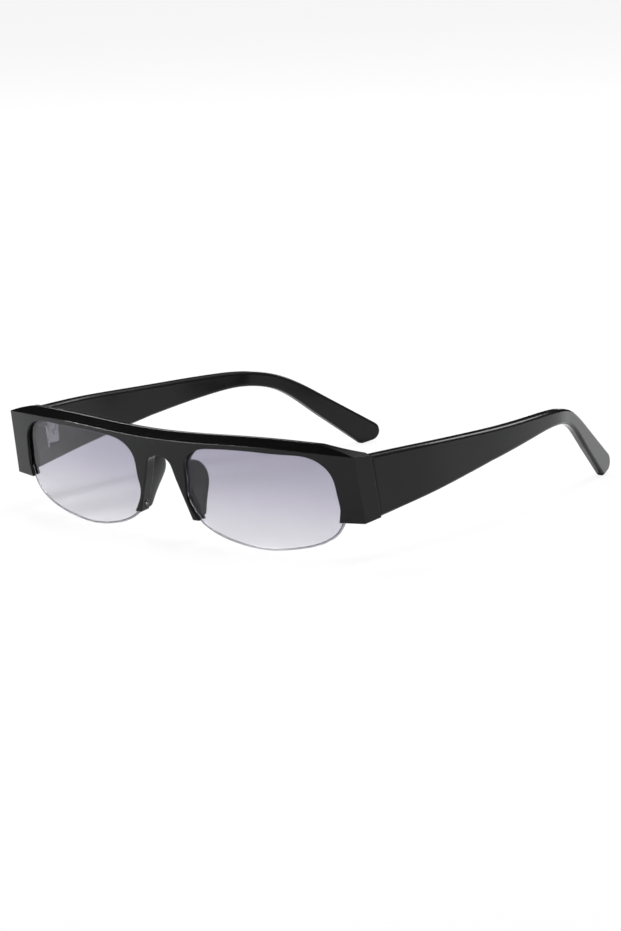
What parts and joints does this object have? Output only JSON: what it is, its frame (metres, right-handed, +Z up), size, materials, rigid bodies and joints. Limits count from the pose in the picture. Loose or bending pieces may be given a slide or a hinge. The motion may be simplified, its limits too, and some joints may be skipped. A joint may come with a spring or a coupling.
{
  "type": "sunglasses",
  "caption": "Half-rim sunglasses: thick black brow bar with keyhole nose bridge, gradient lenses held by clear line, wide folding temples",
  "frame": {"origin": "on the surface the glasses stand on, under the middle of the overall box", "axes": "+X the wearer's left, -Y the way the glasses face, +Y along the temples to the ears, +Z up"},
  "size_m": [0.1504, 0.1583, 0.0357],
  "materials": {
    "black_frame": "polished black plastic with fine bright edges",
    "tinted_lens": "smooth tint, purple-grey at the top and nearly clear at the bottom",
    "clear_line": "clear drawn nylon",
    "nose_pad": "polished black plastic, softly rounded",
    "hinge_steel": "bright stamped steel"
  },
  "bodies": {
    "front": {"front_frame": "black_frame", "left_lens": "tinted_lens", "left_lens_line": "clear_line", "left_nose_pad": "nose_pad", "left_front_hinge_leaf": "hinge_steel", "left_hinge_screw": "hinge_steel", "left_front_leaf_screws": "hinge_steel", "right_lens": "tinted_lens", "right_lens_line": "clear_line", "right_nose_pad": "nose_pad", "right_front_hinge_leaf": "hinge_steel", "right_hinge_screw": "hinge_steel", "right_front_leaf_screws": "hinge_steel"},
    "left_arm": {"left_temple": "black_frame", "left_temple_core": "hinge_steel", "left_temple_hinge_leaf": "hinge_steel", "left_temple_leaf_screws": "hinge_steel"},
    "right_arm": {"right_temple": "black_frame", "right_temple_core": "hinge_steel", "right_temple_hinge_leaf": "hinge_steel", "right_temple_leaf_screws": "hinge_steel"}
  },
  "joints": [
    {"name": "left_fold", "type": "hinge", "parent": "front", "child": "left_arm", "pos_m": [0.06767, -0.05965, 0.0232], "axis": [0, 0, 1], "range_deg": [0, 84]},
    {"name": "right_fold", "type": "hinge", "parent": "front", "child": "right_arm", "pos_m": [-0.06767, -0.05965, 0.0232], "axis": [0, 0, 1], "range_deg": [-76, 0]}
  ]
}
